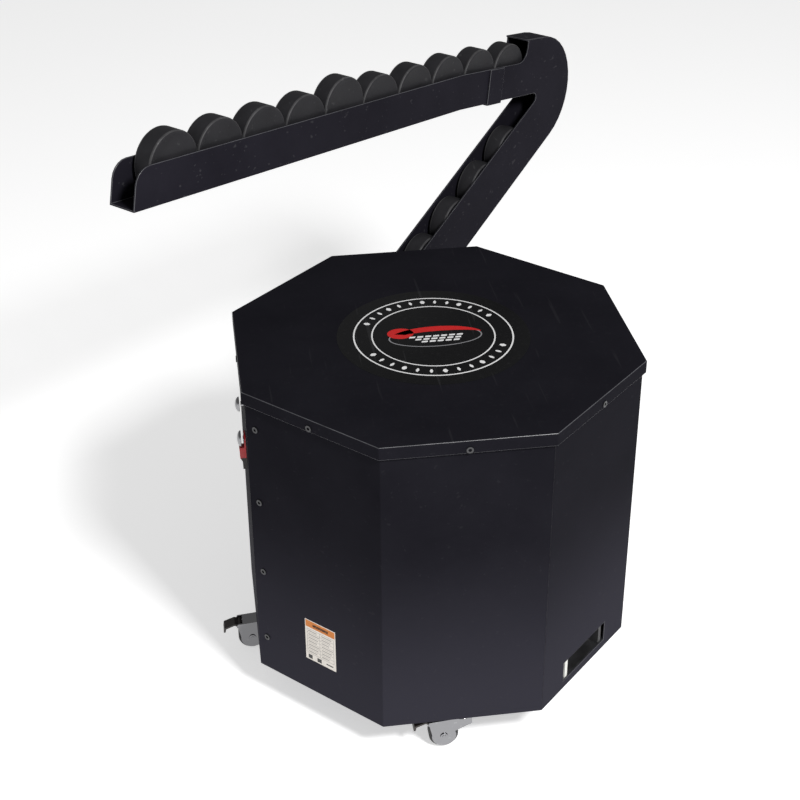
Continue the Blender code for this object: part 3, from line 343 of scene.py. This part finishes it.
def make_floor():
    bpy.ops.mesh.primitive_plane_add(size=30.0, location=(0, 0, floor_height))
    floor = bpy.context.object
    floor.name = "floor"
    mat, tree, shader = blank_material("pale_floor")
    where = tree.nodes.new("ShaderNodeTexCoord")
    haze = tree.nodes.new("ShaderNodeTexNoise")
    haze.inputs["Scale"].default_value = 0.8
    tree.links.new(where.outputs["Object"], haze.inputs["Vector"])
    tone = mix_colour(tree, haze.outputs["Fac"], (0.90, 0.90, 0.90), (0.92, 0.92, 0.92))
    tree.links.new(tone, shader.inputs["Base Color"])
    shader.inputs["Roughness"].default_value = 0.9
    shader.inputs["Specular IOR Level"].default_value = 0.1
    shader.inputs["Emission Color"].default_value = (1.0, 1.0, 1.0, 1.0)
    shader.inputs["Emission Strength"].default_value = 0.52
    floor.data.materials.append(mat)


# ------------------------------------------------------------------ hand tools
def nothing_selected():
    if bpy.context.mode != "OBJECT":
        bpy.ops.object.mode_set(mode="OBJECT")
    bpy.ops.object.select_all(action="DESELECT")


def pick(piece):
    nothing_selected()
    piece.select_set(True)
    bpy.context.view_layer.objects.active = piece


def edit(piece):
    pick(piece)
    bpy.ops.object.mode_set(mode="EDIT")


def leave_edit():
    bpy.ops.object.mode_set(mode="OBJECT")


def select_faces(piece, wanted):
    """In edit mode: leaves only the faces selected whose centre and normal fit."""
    bpy.ops.mesh.select_all(action="DESELECT")
    bpy.ops.object.mode_set(mode="OBJECT")
    for face in piece.data.polygons:
        face.select = wanted(face.center, face.normal)
    bpy.ops.object.mode_set(mode="EDIT")


def select_edges(piece, wanted):
    """In edit mode: leaves only the edges selected whose two ends fit."""
    bpy.ops.mesh.select_mode(type="EDGE")
    bpy.ops.mesh.select_all(action="DESELECT")
    bpy.ops.object.mode_set(mode="OBJECT")
    points = piece.data.vertices
    for line in piece.data.edges:
        line.select = wanted(points[line.vertices[0]].co, points[line.vertices[1]].co)
    bpy.ops.object.mode_set(mode="EDIT")


def round_over(piece, wide, steps=2, angle=30, smooth=35, edge_slot=-1):
    """Rounds the sharp edges, then shades the round parts smooth."""
    pick(piece)
    bevel = piece.modifiers.new("rounded_edges", "BEVEL")
    bevel.width = wide
    bevel.segments = steps
    bevel.limit_method = "ANGLE"
    bevel.angle_limit = math.radians(angle)
    bevel.material = edge_slot
    bpy.ops.object.modifier_apply(modifier=bevel.name)
    bpy.ops.object.shade_smooth_by_angle(angle=math.radians(smooth))
    level = piece.modifiers.new("flat_faces_stay_flat", "WEIGHTED_NORMAL")
    level.weight = 100
    level.keep_sharp = True
    bpy.ops.object.modifier_apply(modifier=level.name)


def settle_in_place(piece, place):
    """Puts a piece modelled at the origin where it belongs, in its mesh."""
    piece.matrix_world = place
    pick(piece)
    bpy.ops.object.transform_apply(location=True, rotation=True, scale=True)


def finish_piece(piece, name, mat, body, nodes=()):
    piece.name = name
    piece.data.name = name
    if mat is not None:
        piece.data.materials.clear()
        piece.data.materials.append(mat)
    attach(piece, body)
    if nodes:
        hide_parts(*nodes)
    return piece


def copy_piece(piece, shift=None):
    twin = piece.copy()
    twin.data = piece.data.copy()
    scene.collection.objects.link(twin)
    twin.parent = None
    if shift is not None:
        settle_in_place(twin, shift)
    return twin


def dressed_copy(node, name, mat, body, edge, steps=2, worn=None):
    """A CAD piece again, its triangles merged to faces and its edges rounded. When worn is given,
    the rounded edges take it as a second finish: a painted highlight with scuffs.
    """
    mesh = cad[node].data.copy()
    piece = bpy.data.objects.new(name, mesh)
    scene.collection.objects.link(piece)
    edit(piece)
    bpy.ops.mesh.select_all(action="SELECT")
    bpy.ops.mesh.remove_doubles(threshold=0.00002)
    bpy.ops.mesh.dissolve_limited(angle_limit=math.radians(0.6))
    leave_edit()
    mesh.materials.clear()
    for face in mesh.polygons:
        face.material_index = 0
    for finish in (mat, worn):
        if finish is not None:
            mesh.materials.append(finish)
    round_over(piece, edge, steps, edge_slot=1 if worn else -1)
    return finish_piece(piece, name, None, body, (node,))


def middle_of(node):
    low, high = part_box(node)
    return (low + high) / 2


def face_place(azimuth, along, height, half):
    """A frame on a cabinet face: X along it, Y up, Z out."""
    a = math.radians(azimuth)
    out = Vector((math.cos(a), math.sin(a), 0))
    side = Vector((-math.sin(a), math.cos(a), 0))
    turn = Matrix((side, Vector((0, 0, 1)), out)).transposed().to_4x4()
    return Matrix.Translation(out * half + side * along + Vector((0, 0, height))) @ turn


# ---------------------------------------------------------------- the cabinet
def dress_cabinet():
    for node, name in (("front_skin", "front_panel"), ("right_skin", "right_panel"),
                       ("rear_skin", "rear_panel"), ("control_panel", "control_side_panel")):
        dressed_copy(node, name, black_coat, "root", 0.0004, 2, fold_edge_wear_and_highlight)
    dressed_copy("lid", "lid_pan", black_coat, "root", 0.0005, 2, fold_edge_wear_and_highlight)
    dressed_copy("inlet_flange", "entry_frame", black_coat, "root", 0.0004, 2,
                 fold_edge_wear_and_highlight)
    for node, mat in (("base_plate", black_coat), ("inner_frame", zinc), ("puck_deck", zinc),
                      ("motor_bridge", zinc), ("drop_chute", zinc),
                      ("drive_spindle", zinc), ("motor_pulley", zinc),
                      ("drive_tyre", drive_grey), ("drive_belt", drive_grey),
                      ("drive_motor", motor_grey), ("feed_motor", motor_grey),
                      ("battery_pack", box_grey), ("control_box", box_grey),
                      ("guide_rail", rail_white), ("outlet_guide", guide_painted_shade),
                      ("feed_star", rail_white)):
        cad[node].data.materials.clear()
        cad[node].data.materials.append(mat)


def model_button_screw(name, radius, height):
    """A domed socket-head screw, head up along Z, at the origin."""
    bpy.ops.mesh.primitive_cylinder_add(vertices=32, radius=radius, depth=height,
                                        location=(0, 0, height / 2))
    screw = bpy.context.object
    edit(screw)
    select_faces(screw, lambda spot, normal: normal.z > 0.9)
    bpy.ops.mesh.inset(thickness=radius * 0.28)
    bpy.ops.mesh.inset(thickness=radius * 0.24)
    leave_edit()
    edit(screw)
    select_edges(screw, lambda a, b: min(a.z, b.z) > height * 0.9 and
                 min(a.xy.length, b.xy.length) > radius * 0.9)
    bpy.ops.mesh.bevel(offset=height * 0.62, segments=4)
    leave_edit()
    edit(screw)
    select_faces(screw, lambda spot, normal: normal.z > 0.9 and
                 spot.xy.length < radius * 0.1)
    bpy.ops.mesh.extrude_region_move(TRANSFORM_OT_translate={"value": (0, 0, -height * 0.6)})
    leave_edit()
    pick(screw)
    bpy.ops.object.shade_smooth_by_angle(angle=math.radians(40))
    screw.name = name
    return screw


screw_head_radius = 0.0042
screw_head_height = 0.0022
lid_screw_drop = 0.0123
lid_screw_stand_off = 0.001


def place_lid_screws():
    pattern = model_button_screw("lid_screw_pattern", screw_head_radius,
                                 screw_head_height)
    height = lid_top - lid_screw_drop
    for number in range(8):
        twin = copy_piece(pattern, face_place(45 * number - 90, lid_screw_stand_off,
                                               height, lid_half))
        finish_piece(twin, "lid_screw_%d" % (number + 1), dark_screw, "root")
    bpy.data.objects.remove(pattern)


def place_panel_screws():
    pattern = model_button_screw("panel_screw_pattern", screw_head_radius,
                                 screw_head_height)
    for number in range(1, 5):
        node = "panel_screw_%d" % number
        middle = middle_of(node)
        side = Vector((LEVEL, -LEVEL, 0))
        spot = face_place(-135, middle.dot(side), middle.z, skin_half + 0.0003)
        twin = copy_piece(pattern, spot)
        finish_piece(twin, "side_screw_%d" % number, dark_screw, "root", (node,))
    bpy.data.objects.remove(pattern)


# ------------------------------------------------------------------ the badge
def flat_ring(name, outer, inner, height, thick, steps=160):
    """A thin flat ring, or a disc when inner is nothing."""
    bpy.ops.mesh.primitive_circle_add(vertices=steps, radius=outer, fill_type="NGON",
                                      location=(0, 0, height))
    ring = bpy.context.object
    edit(ring)
    bpy.ops.mesh.select_all(action="SELECT")
    if inner > 0:
        bpy.ops.mesh.inset(thickness=outer - inner)
        bpy.ops.mesh.delete(type="FACE")
        bpy.ops.mesh.select_all(action="SELECT")
    bpy.ops.mesh.extrude_region_move(TRANSFORM_OT_translate={"value": (0, 0, thick)})
    bpy.ops.mesh.select_all(action="SELECT")
    bpy.ops.mesh.normals_make_consistent(inside=False)
    leave_edit()
    bpy.ops.object.transform_apply(location=True, rotation=True, scale=True)
    ring.name = name
    return ring


def flat_shape(name, points, height, thick):
    """A thin flat shape from its outline, made as a filled curve."""
    curve = bpy.data.curves.new(name, "CURVE")
    curve.dimensions = "2D"
    curve.fill_mode = "BOTH"
    curve.extrude = thick / 2
    line = curve.splines.new("POLY")
    line.points.add(len(points) - 1)
    for point, (x, y) in zip(line.points, points):
        point.co = (x, y, 0, 1)
    line.use_cyclic_u = True
    drawn = bpy.data.objects.new(name, curve)
    scene.collection.objects.link(drawn)
    drawn.location.z = height + thick / 2
    pick(drawn)
    bpy.ops.object.convert(target="MESH")
    made = bpy.context.object
    bpy.ops.object.transform_apply(location=True, rotation=True, scale=True)
    edit(made)
    bpy.ops.mesh.select_all(action="SELECT")
    bpy.ops.mesh.remove_doubles(threshold=0.000005)
    bpy.ops.mesh.normals_make_consistent(inside=False)
    leave_edit()
    return made


def join_pieces(pieces):
    nothing_selected()
    for piece in pieces:
        piece.select_set(True)
    bpy.context.view_layer.objects.active = pieces[0]
    bpy.ops.object.join()
    return bpy.context.object


def arc_points(radius, start, end, steps, squeeze=1.0, centre=(0.0, 0.0)):
    found = []
    for k in range(steps + 1):
        a = start + (end - start) * k / steps
        found.append((centre[0] + radius * math.cos(a), centre[1] + radius * squeeze * math.sin(a)))
    return found


def make_badge():
    """Round film on the lid: two white rings, a dotted band and a plain emblem."""
    film = 0.0002
    disc = flat_ring("badge_disc", 0.123, 0.0, lid_top, film)
    finish_piece(disc, "badge_disc", badge_black, "root")
    top = lid_top + film
    ink = 0.00012
    rings = [flat_ring("ring", 0.1022, 0.1002, top, ink),
             flat_ring("ring", 0.0790, 0.0772, top, ink)]
    finish_piece(join_pieces(rings), "badge_rings", badge_white, "root")
    marks = []
    radius = 0.0905
    for start, end, count in ((28, 152, 13), (205, 335, 13)):
        for k in range(count):
            a = math.radians(start + (end - start) * k / (count - 1))
            tall, wide = 0.0040, 0.0022 if k % 3 else 0.0034
            spot = Vector((radius * math.cos(a), radius * math.sin(a)))
            up, side = spot.normalized(), Vector((-math.sin(a), math.cos(a)))
            corners = [spot + up * tall + side * wide * 0.4, spot + side * wide,
                       spot - up * tall + side * wide * 0.4, spot - up * tall - side * wide * 0.4,
                       spot - side * wide, spot + up * tall - side * wide * 0.4]
            marks.append(flat_shape("mark", [tuple(c) for c in corners], top, ink))
    finish_piece(join_pieces(marks), "badge_band_marks", badge_white, "root")
    # emblem: a dark puck flying out of a red sweep
    sweep = arc_points(0.061, math.radians(18), math.radians(150), 24, 0.46, (0.004, -0.005))
    sweep += arc_points(0.053, math.radians(148), math.radians(14), 24, 0.20, (0.009, 0.000))
    red = [flat_shape("sweep", sweep, top, ink)]
    head = arc_points(0.0170, 0, 2 * math.pi * 0.97, 30, 0.80, (-0.041, 0.010))
    red.append(flat_shape("head", head, top, ink))
    finish_piece(join_pieces(red), "badge_red_sweep", badge_red, "root")
    outline = arc_points(0.060, 0, 2 * math.pi * 0.985, 60, 0.42, (0.002, -0.004))
    outer = flat_shape("oval", outline, top, ink * 0.6)
    finish_piece(outer, "badge_oval", badge_grey, "root")
    inner = flat_shape("oval_in", arc_points(0.0583, 0, 2 * math.pi * 0.985, 60, 0.405,
                                             (0.002, -0.004)), top, ink * 0.8)
    finish_piece(inner, "badge_oval_face", badge_black, "root")
    bars = []
    for row in range(3):
        y = -0.0040 - 0.0064 * row
        left = -0.032 + 0.007 * row
        for k in range(7 - row):
            x = left + 0.0102 * k
            corners = [(x, y), (x + 0.0076, y), (x + 0.0090, y + 0.0038), (x + 0.0014, y + 0.0038)]
            bars.append(flat_shape("bar", corners, top, ink * 1.1))
    finish_piece(join_pieces(bars), "badge_white_bars", badge_white, "root")


def make_label():
    """Small rating label with ruled rows and no lettering."""
    place = face_place(-135, 0.0033, 0.0830, skin_half)
    w, h = 0.049, 0.0640
    paper = flat_shape("label_sheet", [(-w / 2, -h / 2), (w / 2, -h / 2), (w / 2, h / 2),
                                       (-w / 2, h / 2)], 0.0, 0.00015)
    settle_in_place(paper, place)
    finish_piece(paper, "label_sheet", label_paper, "root")
    top = 0.00015
    ink = 0.00005

    def bar(x0, y0, x1, y1):
        return flat_shape("bar", [(x0, y0), (x1, y0), (x1, y1), (x0, y1)], top, ink)

    orange = [bar(-w / 2 + 0.001, h / 2 - 0.0115, w / 2 - 0.001, h / 2 - 0.001)]
    piece = join_pieces(orange)
    settle_in_place(piece, place)
    finish_piece(piece, "label_header", label_orange, "root")
    rows = []
    edge = 0.0005
    low, high = -h / 2 + 0.0105, h / 2 - 0.0145
    count = 7
    for k in range(count + 1):
        y = low + (high - low) * k / count
        rows.append(bar(-w / 2 + 0.003, y - edge / 2, w / 2 - 0.003, y + edge / 2))
    for x in (-w / 2 + 0.003, -0.001, w / 2 - 0.003):
        rows.append(bar(x - edge / 2, low, x + edge / 2, high))
    for k in range(count):
        y = low + (high - low) * (k + 0.5) / count
        rows.append(bar(-w / 2 + 0.005, y - 0.0007, -0.006 + 0.002 * (k % 3), y + 0.0007))
        rows.append(bar(0.002, y - 0.0007, 0.014 + 0.002 * (k % 4), y + 0.0007))
    piece = join_pieces(rows)
    settle_in_place(piece, place)
    finish_piece(piece, "label_rows", label_grey, "root")
    marks = [bar(-w / 2 + 0.004, -h / 2 + 0.002, -w / 2 + 0.0105, -h / 2 + 0.0082),
             bar(-0.006, -h / 2 + 0.002, 0.001, -h / 2 + 0.0082),
             bar(0.009, -h / 2 + 0.0045, 0.020, -h / 2 + 0.0062),
             bar(-0.012, h / 2 - 0.0085, 0.013, h / 2 - 0.0045)]
    piece = join_pieces(marks)
    settle_in_place(piece, place)
    finish_piece(piece, "label_marks", label_black, "root")


# ------------------------------------------------------------------ the chute
def dress_chute():
    for node, name in (("chute_near_plate", "chute_near_side"),
                       ("chute_arm", "chute_far_side_and_floor"),
                       ("chute_wall", "chute_bent_wall")):
        dressed_copy(node, name, chute_coat, "root", 0.0004, 2, fold_edge_wear_and_highlight)
    dressed_copy("chute_tray", "loading_tray", chute_coat, "tray", 0.0005, 2,
                 fold_edge_wear_and_highlight)
    dressed_copy("tray_saddle", "joint_strap", chute_coat, "root", 0.0005, 2,
                 fold_edge_wear_and_highlight)


def model_puck():
    """A puck lying flat at the origin, with a rolled edge and a shallow band round its rim."""
    radius, thick = 0.0381, 0.0254
    bpy.ops.mesh.primitive_cylinder_add(vertices=96, radius=radius, depth=thick)
    puck = bpy.context.object
    edit(puck)
    select_faces(puck, lambda spot, normal: abs(normal.z) > 0.9)
    bpy.ops.mesh.inset(thickness=0.0042, use_individual=True)
    bpy.ops.mesh.inset(thickness=0.0006, use_individual=True)
    leave_edit()
    edit(puck)
    select_faces(puck, lambda spot, normal: abs(normal.z) > 0.9 and spot.xy.length < 0.001)
    bpy.ops.transform.shrink_fatten(value=-0.00025)
    leave_edit()
    edit(puck)
    select_edges(puck, lambda a, b: min(a.xy.length, b.xy.length) > radius - 0.0002 and
                 abs(a.z - b.z) < 0.0001)
    bpy.ops.mesh.bevel(offset=0.0018, segments=4)
    leave_edit()
    edit(puck)
    select_faces(puck, lambda spot, normal: abs(normal.z) < 0.05 and
                 spot.xy.length > radius - 0.0005)
    bpy.ops.mesh.inset(thickness=0.0008, depth=0.00015)
    leave_edit()
    puck.data.materials.append(puck_black)
    puck.data.materials.append(puck_rim)
    for face in puck.data.polygons:
        away = face.center.xy.length
        slanted = 0.1 < abs(face.normal.z) < 0.97 and away > radius - 0.003
        face.material_index = 1 if slanted else 0
    pick(puck)
    bpy.ops.object.shade_smooth_by_angle(angle=math.radians(40))
    return puck


def place_pucks():
    pattern = model_puck()
    upper = ["puck_%02d" % k for k in range(1, 11)]
    lower = ["puck_lower_%d" % k for k in range(1, 5)]
    stand = Matrix((chute_out, Vector((0, 0, 1)), chute_near)).transposed().to_4x4()
    for number, node in enumerate(upper + lower):
        spin = Matrix.Rotation(1.3 * number, 4, "Z")
        place = Matrix.Translation(middle_of(node)) @ stand @ spin
        twin = copy_piece(pattern, place)
        body = "tray" if node in upper[:9] else "root"
        finish_piece(twin, "loaded_" + node, None, body, (node,))
    bpy.data.objects.remove(pattern)


# ---------------------------------------------------------------- the casters
def round_bar(radius, length, spot, vertices=32, edge=0.0004):
    """A short bar lying along Y."""
    bpy.ops.mesh.primitive_cylinder_add(vertices=vertices, radius=radius, depth=length,
                                        location=spot, rotation=(math.radians(90), 0, 0))
    bar = bpy.context.object
    bpy.ops.object.transform_apply(location=True, rotation=True, scale=True)
    round_over(bar, edge, 2)
    return bar


def model_wheel(spot):
    bpy.ops.mesh.primitive_cylinder_add(vertices=72, radius=0.019, depth=0.017)
    wheel = bpy.context.object
    edit(wheel)
    select_edges(wheel, lambda a, b: abs(a.z - b.z) < 0.0001)
    bpy.ops.mesh.bevel(offset=0.0026, segments=5)
    leave_edit()
    edit(wheel)
    select_faces(wheel, lambda place, normal: abs(normal.z) > 0.99)
    bpy.ops.mesh.inset(thickness=0.0035, use_individual=True)
    bpy.ops.mesh.inset(thickness=0.0010, depth=-0.0008, use_individual=True)
    leave_edit()
    pick(wheel)
    bpy.ops.object.shade_smooth_by_angle(angle=math.radians(35))
    settle_in_place(wheel, Matrix.Translation(spot) @ Matrix.Rotation(math.radians(90), 4, "X"))
    return wheel


axle_cap_radius = 0.0050
axle_cap_height = 0.0014
axle_pin_radius = 0.0026
axle_pin_height = 0.0024
axle_cap_gap = 0.0005
cheek_from_middle = 0.01125


def dress_casters():
    for side in ("front", "left", "rear", "right"):
        name = "caster_" + side
        dressed_copy(name + "_fork", name + "_hood", chrome, name, 0.0006, 3)
        dressed_copy(name + "_pedal", name + "_brake_pedal", pedal_dark, name + "_brake",
                     0.0005, 2)
        middle = middle_of(name + "_wheel")
        wheel = model_wheel(middle)
        finish_piece(wheel, name + "_tyre", wheel_black, name + "_roller",
                     (name + "_wheel",))
        caps = []
        for sign in (-1, 1):
            y = middle.y + sign * cheek_from_middle
            spot = (middle.x, y + sign * axle_cap_gap, middle.z)
            caps.append(round_bar(axle_cap_radius, axle_cap_height, spot))
            caps.append(round_bar(axle_pin_radius, axle_pin_height, spot, 24))
        cap = join_pieces(caps)
        finish_piece(cap, name + "_axle_caps", chrome, name)


# ---------------------------------------------------------------- the controls
def model_dome(radius, height, base):
    """A smooth dome on the XY plane, its top along Z, with a rounded rim."""
    bpy.ops.mesh.primitive_uv_sphere_add(segments=48, ring_count=24, radius=radius)
    dome = bpy.context.object
    edit(dome)
    bpy.ops.mesh.select_all(action="SELECT")
    bpy.ops.mesh.bisect(plane_co=(0, 0, 0), plane_no=(0, 0, 1), use_fill=True,
                        clear_inner=True)
    bpy.ops.mesh.select_all(action="SELECT")
    bpy.ops.transform.resize(value=(1, 1, height / radius))
    bpy.ops.transform.translate(value=(0, 0, base))
    leave_edit()
    round_over(dome, 0.0005, 2, angle=50)
    return dome


button_radius = 0.0095
isolator_cap_radius = 0.0105
button_dome = 0.0055
isolator_dome = 0.0052
stem_radius = 0.0036
stem_overlap = 0.0010
lever_tip = 0.014


def dress_controls():
    for node, name, body, radius in (("push_button", "push_button_cap", "button",
                                      button_radius),
                                     ("isolator_boss", "isolator_cap", "root",
                                      isolator_cap_radius)):
        low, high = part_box(node)
        middle = (low + high) / 2
        far = -low.x
        depth = button_dome if node == "push_button" else isolator_dome
        dome = model_dome(radius, depth, 0.0)
        place = face_place(180, -middle.y, middle.z, far - depth)
        settle_in_place(dome, place)
        inner = -high.x
        stem = round_bar(stem_radius, far - depth - inner + stem_overlap, (0, 0, 0))
        turn = Matrix.Rotation(math.radians(90), 4, "Z")
        settle_in_place(stem, Matrix.Translation(((-(far - depth) - inner) / 2, middle.y,
                                                  middle.z)) @ turn)
        piece = join_pieces([dome, stem])
        finish_piece(piece, name, chrome, body, (node,))
    lever = dressed_copy("isolator_lever", "isolator_handle", lever_red, "lever",
                         0.0006, 3)
    lever.data.materials.append(tip_black)
    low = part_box("isolator_lever")[0].z
    for face in lever.data.polygons:
        if face.center.z < low + lever_tip:
            face.material_index = 1


set_up_camera()
light_the_studio()
make_floor()
dress_cabinet()
place_lid_screws()
place_panel_screws()
make_badge()
make_label()
dress_chute()
place_pucks()
dress_casters()
dress_controls()
